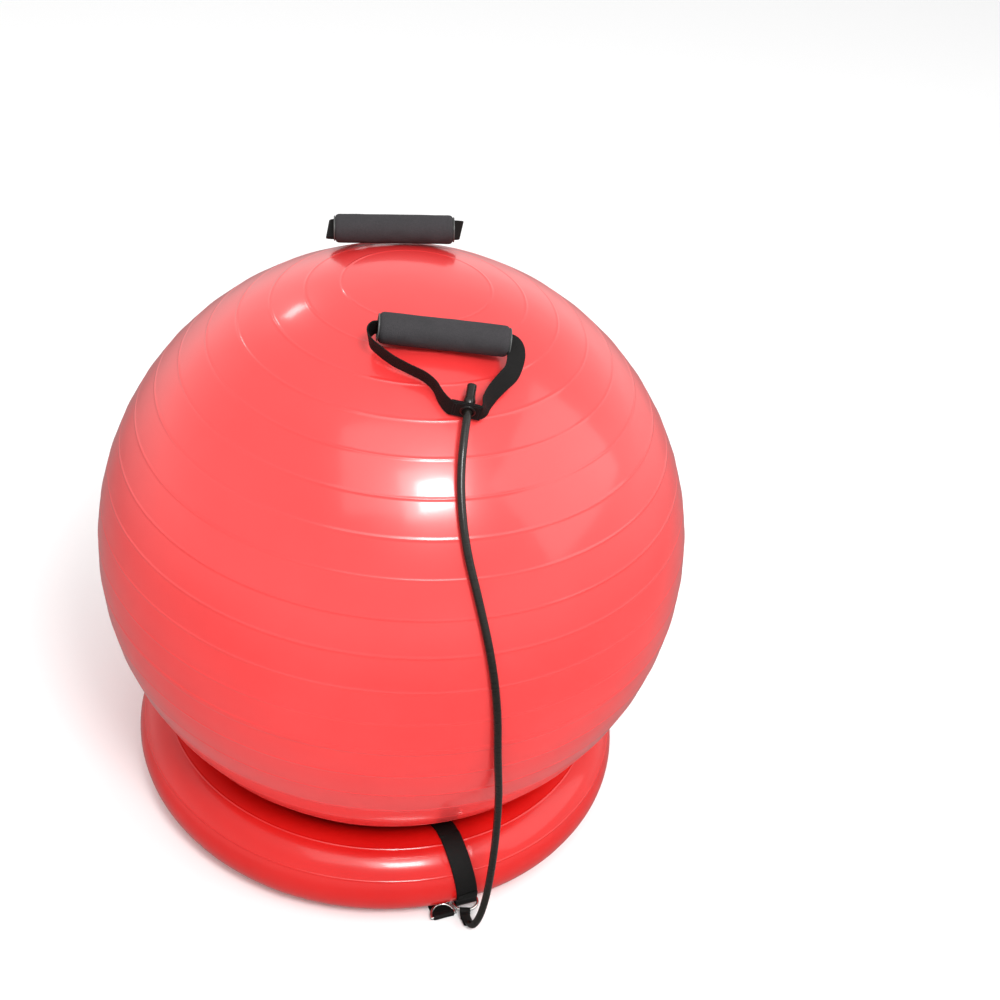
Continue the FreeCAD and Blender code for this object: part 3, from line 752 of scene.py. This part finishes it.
def tube(path, radius, bore_at_end=0.0, beyond=0.0):
    """A round tube along path; radius gives its radius at a distance from the far end. Its far
    end is open where there is a bore. beyond is how much more tube follows in another piece."""
    left = [0.0]
    for a, b in zip(path[::-1], path[-2::-1]):
        left.append(left[-1] + (b - a).length)
    left.reverse()
    ahead = [heading(path, i) for i in range(len(path))]
    side = ahead[0].orthogonal().normalized()
    turns = [2 * pi * k / BAND_SIDES for k in range(BAND_SIDES)]
    rows, marks = [], []

    def ring(p, forward, r, along):
        up = forward.cross(side)
        rows.append([p + (side * cos(a) + up * sin(a)) * r for a in turns])
        marks.extend((along + beyond, r * cos(a), r * sin(a)) for a in turns)

    for p, forward, to_end in zip(path, ahead, left):
        side = (side - forward * side.dot(forward)).normalized()
        ring(p, forward, radius(to_end), to_end)
    if bore_at_end:
        p, forward, bevel = path[-1], ahead[-1], 0.0003
        ring(p + forward * 0.00025, forward, radius(0) - bevel, 0)
        ring(p + forward * bevel, forward, BAND_BORE_R + bevel, 0)
        ring(p, forward, BAND_BORE_R, 0)
        ring(p - forward * bore_at_end, forward, BAND_BORE_R, 0)
    bm = grid(rows)
    mark_weave(bm, marks)
    for first in (0, len(bm.verts) - BAND_SIDES):
        end = bm.faces.new([bm.verts[first + k] for k in range(BAND_SIDES)])
        for edge in end.edges:
            edge.smooth = False
    return bm


def refined(path, step):
    """The points of a path, with more put in evenly so that none are further apart than step."""
    out = []
    for a, b in zip(path, path[1:]):
        n = max(1, ceil((b - a).length / step))
        out += [a.lerp(b, i / n) for i in range(n)]
    return out + [path[-1]]


def make_tubes(side):
    """The elastic tube: from its foot to the join, and from there through the eyelet."""
    path = spline(ROUTE)
    bm = tube(path, lambda to_end: BAND_R, beyond=BAND_TOP_LENGTH)
    long_tube = piece("band_tube_latex_" + side, bm, RUBBER, side)
    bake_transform(long_tube)
    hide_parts("band_tube_" + side)

    def swollen(to_end):
        """The tube's radius, larger over the stop plug just above the eyelet."""
        above_eye = TUBE_PAST_EYE - to_end
        bulge = STOP_BULGE * exp(-((above_eye - STOP_UP) / STOP_SPREAD) ** 2)
        return BAND_R + STRETCHED * eased((above_eye - 0.003) / 0.006) + bulge

    path = refined(spline(TOP_ROUTE), 0.0016)
    top = piece("band_tube_stub_" + side, tube(path, swollen, bore_at_end=0.009), RUBBER, side)
    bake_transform(top)
    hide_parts("band_tube_top_" + side)


# ---- foot tab --------------------------------------------------------------------------
def make_foot_tab(side):
    """Webbing folded round the pull D-ring's bow, its two ends sewn over the tube's foot."""
    a, lift = radians(TAB_BOW_ANGLE), radians(PULL_D_LIFT)
    out = Vector((0, -cos(lift), sin(lift)))
    bow = PULL_BAR + (X * cos(a) + out * sin(a)) * D_R
    wire = (X * -sin(a) + out * cos(a)).normalized()
    along = (bow - FOOT_END).normalized()
    up = along.cross(wire).normalized()
    up = up if up.z > 0 else -up
    clear = TAB_T / 2 + 0.0002
    cap_r, loop_r = BAND_R + clear, WIRE_R + clear
    tube_up = FOOT_IN.cross(wire).normalized()
    neck, neck_up, neck_curl = FOOT_END + along * 0.0035, up * 0.0024, 60.0

    def half(face):
        """Points on one face of the fold, from its sewn end to the bow, each with its curl."""
        over_tube = [(FOOT_END - FOOT_IN * s + tube_up * cap_r * face, 1 / cap_r)
                     for s in (0.009, 0.006, 0.003, 0.0005)]
        by_bow = bow - along * 0.0012 + up * loop_r * face
        return over_tube + [(neck + neck_up * face, neck_curl), (by_bow, 0.0)]

    bend = [(bow + (along * cos(t) + up * sin(t)) * loop_r, 0.0) for t in map(radians, range(60, -61, -30))]
    stops = half(1) + bend + half(-1)[::-1]
    line = through([(*p, k / CARRY) for p, k in stops], 0.0009)
    path, curl = [Vector(p[:3]) for p in line], [p[3] * CARRY for p in line]
    bm = ribbon(path, [wire] * len(path), TAB_W, TAB_T, curl)
    tab = piece("foot_tab_webbing_" + side, bm, WEBBING, side)
    settle(tab, "ring_base", "webbing", "foot_tab_" + side)


# ---- handle ----------------------------------------------------------------------------
# Middle line of the webbing in the handle's frame, from below the grip on the right, through
# the grip and down its left side: x, y, z, and its tilt from standing on edge in degrees. It
# lies flat where it enters the grip on the right, and turns on edge again inside the grip. The
# rear band's webbing stays nearly on edge there: RIGHT_LAY is the share of those tilts taken.
RIGHT_LAY = {"front": 1.0, "rear": 0.15}
HANDLE_LINE = [
    (0.0440, 0.0560, -0.0005, -62), (0.0450, 0.0680, -0.0005, -76), (0.0420, 0.0765, 0, -86),
    (0.0340, 0.0790, 0, -86), (0.0100, 0.0790, 0, -70), (-0.0250, 0.0790, 0, -34),
    (-0.0600, 0.0790, 0, -6), (-0.0850, 0.0790, 0, 4), (-0.0930, 0.0770, 0, 13),
    (-0.0965, 0.0700, 0, 13), (-0.0935, 0.0610, 0, 6), (-0.0850, 0.0535, 0, 3),
    (-0.0720, 0.0445, 0, 3), (-0.0570, 0.0375, 0, 4), (-0.0420, 0.0310, 0, 3),
    (-0.0320, 0.0225, 0, 0), (-0.0255, 0.0110, 0, -6),
]


def make_handle_strap(side):
    """The handle's webbing loop, with its two ends sewn over each other at the eyelet."""
    def at_eye(spots):
        """Line points from places (x, y) in the eyelet's frame."""
        return [(*(HANDLE.inverted() @ EYE @ Vector((x, y, 0))), -EYE_DIP) for x, y in spots]

    lap = at_eye([(-0.0170, 0.0008), (-0.0060, 0.0008), (0.0060, 0.0008), (0.0125, 0.0008)])
    rise = [(0.0163, 0.0035, 0, -22), (0.0180, 0.0110, 0, -32), (0.0240, 0.0225, 0, -40),
            (0.0330, 0.0350, 0, -46), (0.0405, 0.0450, -0.0003, -53)]
    back = at_eye([(-0.0185, 0.0004), (-0.0130, -0.0008), (0.0000, -0.0008), (0.0130, -0.0008)])
    stops = lap + rise + HANDLE_LINE + back
    lay = RIGHT_LAY[side]
    line = through([(x, y, z, (tilt * lay if tilt < -EYE_DIP else tilt) / CARRY)
                    for x, y, z, tilt in stops], 0.0018)
    path = [HANDLE @ Vector((x, y, z)) for x, y, z, tilt in line]
    across = []
    for i, p in enumerate(line):
        lean = radians(p[3] * CARRY)
        across.append(HANDLE_M * cos(lean) + HANDLE_M.cross(heading(path, i)) * -sin(lean))
    strap = piece("handle_webbing_" + side, ribbon(path, across, WEB_W, WEB_T), WEBBING, side)
    settle(strap, "handle_" + side, "webbing", "handle_strap_" + side)
    bm = bmesh.new()
    half, two_layers = WEB_W / 2 - 0.002, 0.00156
    left, second, right = -0.0145, -0.012, 0.0105
    for face in (-1, 1):
        y = face * two_layers
        for x in (left, second, right):
            stitch_row(bm, EYE @ Vector((x, y, -half)), EYE @ Vector((x, y, half)), EYE_U * face)
        for z in (-half, half):
            stitch_row(bm, EYE @ Vector((left, y, z)), EYE @ Vector((right, y, z)), EYE_U * face)
    stitches = piece("handle_stitches_" + side, bm, THREAD, side)
    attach(stitches, "handle_" + side)


def make_grommet(side):
    """A rolled eyelet: the barrel turned over into a rounded rim on both faces."""
    hole, rim, y1, y2 = 0.0053, 0.0076, 0.0016, 0.0023
    half = [(hole, 0.0), (hole, y1), (hole + 0.0004, y2 - 0.0002), (hole + 0.0010, y2),
            (rim - 0.0009, y2 - 0.0001), (rim - 0.0003, y2 - 0.0004), (rim, y1), (hole + 0.0006, y1)]
    outline = half + [(r, -y) for r, y in reversed(half[1:])]
    place = EYE @ Matrix.Rotation(-pi / 2, 4, "X")
    eyelet = piece("grommet_eyelet_" + side, lathe(outline, place, steps=64), EYELET, side)
    settle(eyelet, "handle_" + side, "eyelet_metal", "grommet_" + side)


def make_grip(side):
    """A plastic tube with a low rim at each end, and a foam sleeve over it."""
    place = HANDLE @ Matrix.Translation((GRIP_X, GRIP_Y, 0)) @ Matrix.Rotation(pi / 2, 4, "Y")
    half, foam_half = CORE_L / 2, FOAM_L / 2
    rim, step = CORE_R + 0.0010, foam_half + 0.0004
    core = rounded([(CORE_BORE_R, -half), (rim, -half), (rim, -step), (CORE_R, -step),
                    (CORE_R, step), (rim, step), (rim, half), (CORE_BORE_R, half)], 0.0004)
    settle(piece("grip_core_tube_" + side, lathe(core, place), CORE, side),
           "grip_" + side, "core_plastic", "grip_core_" + side)
    round_end = 0.005
    straight = FOAM_L - 2 * round_end
    profile = [(FOAM_R, -foam_half + round_end + straight * i / 40) for i in range(41)]
    end = [(CORE_R + 0.0003, foam_half - 0.0009), (CORE_R + 0.0004, foam_half - 0.0001),
           (FOAM_R - 0.0021, foam_half - 0.0003), (FOAM_R - 0.0011, foam_half - 0.0011),
           (FOAM_R - 0.0004, foam_half - 0.0024), (FOAM_R - 0.0001, foam_half - 0.0038)]
    profile = [(r, -h) for r, h in end] + profile + end[::-1]
    sleeve = piece("grip_foam_sleeve_" + side, lathe(profile, place, rough=0.00025), FOAM, side)
    settle(sleeve, "grip_" + side, "grip_foam", "grip_foam_" + side)


# ---- the whole -------------------------------------------------------------------------
def make_camera():
    """In front of the ball, to its left and above it, turned a little about its own axis."""
    yaw, pitch, roll = radians(26.78), radians(35.81), radians(7.87)
    ahead = Vector((sin(yaw) * cos(pitch), cos(yaw) * cos(pitch), -sin(pitch)))
    right = Vector((cos(yaw), -sin(yaw), 0))
    up = right.cross(ahead)
    data = bpy.data.cameras.new("camera")
    data.lens = 53.95
    at = Vector((-0.5052, -1.2503, 1.3605))
    camera = bpy.data.objects.new("camera", data)
    bpy.context.scene.collection.objects.link(camera)
    camera.matrix_world = axes(right * cos(roll) + up * sin(roll), up * cos(roll) - right * sin(roll),
                               -ahead, at)
    bpy.context.scene.camera = camera


def panel(name, azimuth, elevation, distance, width, height, radiance):
    """A soft light panel that faces the ball; azimuth 0 is on -Y, towards +X."""
    a, e = radians(azimuth), radians(elevation)
    out = Vector((sin(a) * cos(e), -cos(a) * cos(e), sin(e)))
    data = bpy.data.lights.new(name, "AREA")
    data.shape = "RECTANGLE"
    data.size, data.size_y = width, height
    data.energy = radiance * width * height * pi
    light = bpy.data.objects.new(name, data)
    light.location = BALL_C + out * distance
    light.rotation_mode = "QUATERNION"
    light.rotation_quaternion = (-out).to_track_quat("-Z", "Y")
    bpy.context.scene.collection.objects.link(light)


def make_studio():
    """A pale floor, a sky that is dim below the horizon, and the light panels."""
    pale = Finish("floor_pale", (0.92, 0.92, 0.92), 0.7).material
    ends = (-FLOOR_HALF, FLOOR_HALF)
    corners = [[Vector((x, y, 0)) for x in ends] for y in ends]
    floor = piece("floor", grid(corners, close_rows=False), pale)
    floor.visible_glossy = False   # the edges of the ball and ring are dark in the photo
    rise = 0.0002
    inside = [(0, rise), (HOLE_IN_RING_R, rise), (HOLE_IN_RING_R, -rise), (0, -rise)]
    piece("floor_in_ring", lathe(inside, Matrix.Identity(4), close_ends=False), pale)
    world = bpy.data.worlds.new("studio")
    bpy.context.scene.world = world
    world.use_nodes = True
    tree = world.node_tree
    back = tree.nodes["Background"]
    at = tree.nodes.new("ShaderNodeTexCoord")
    parts = tree.nodes.new("ShaderNodeSeparateXYZ")
    ramp = tree.nodes.new("ShaderNodeValToRGB")
    height = tree.nodes.new("ShaderNodeMapRange")
    height.inputs["From Min"].default_value = -1
    tree.links.new(at.outputs["Generated"], parts.inputs[0])
    tree.links.new(parts.outputs["Z"], height.inputs["Value"])
    tree.links.new(height.outputs[0], ramp.inputs[0])
    stops = ramp.color_ramp.elements
    for elevation, grey in SKY:
        stop = stops.new((1 + sin(radians(elevation))) / 2)
        stop.color = (grey, grey, grey, 1)
    stops.remove(stops[0])
    tree.links.new(ramp.outputs[0], back.inputs[0])
    panel("key", azimuth=-2, elevation=50, distance=3.0, width=0.66, height=0.56, radiance=30.0)
    panel("key_spill", azimuth=-4, elevation=51, distance=3.1, width=1.15, height=1.0, radiance=4.0)
    panel("ceiling", azimuth=-18, elevation=60, distance=3.2, width=2.6, height=1.9, radiance=1.5)
    panel("wall_right", azimuth=62, elevation=34, distance=3.2, width=2.8, height=2.2, radiance=1.3)
    panel("window_back", azimuth=-165, elevation=36, distance=3.0, width=0.30, height=0.20, radiance=12.0)
    bpy.context.scene.view_settings.view_transform = "Standard"


make_camera()
for side in SIDES:
    make_foot_tab(side)
    make_tubes(side)
make_ball()
make_ring()
out = outward(BALL_VALVE_AZ, BALL_VALVE_LAT)
place = outward_frame(BALL_C + out * (BALL_R - 0.0001), out)
make_valve("ball", place, BALL_VINYL, "ball_vinyl", "ball")
out = ring_valve_axis()
place = outward_frame(on_floor_plan(RING_VALVE_AZ, RING_MID_R, RING_MID_Z) + out * (RING_R + 0.0001), out)
make_valve("ring", place, RING_VINYL, "ring_vinyl", "ring_base")
for side in SIDES:
    make_ring_strap(side)
    make_grip(side)
    make_handle_strap(side)
    make_grommet(side)
    for node, finish in (("pull_d_ring_", CHROME), ("tail_d_ring_", CHROME),
                         ("foot_plug_", STOPPER), ("stop_plug_", STOPPER)):
        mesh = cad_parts[node + side].data
        mesh.materials.clear()
        mesh.materials.append(finish)
make_studio()
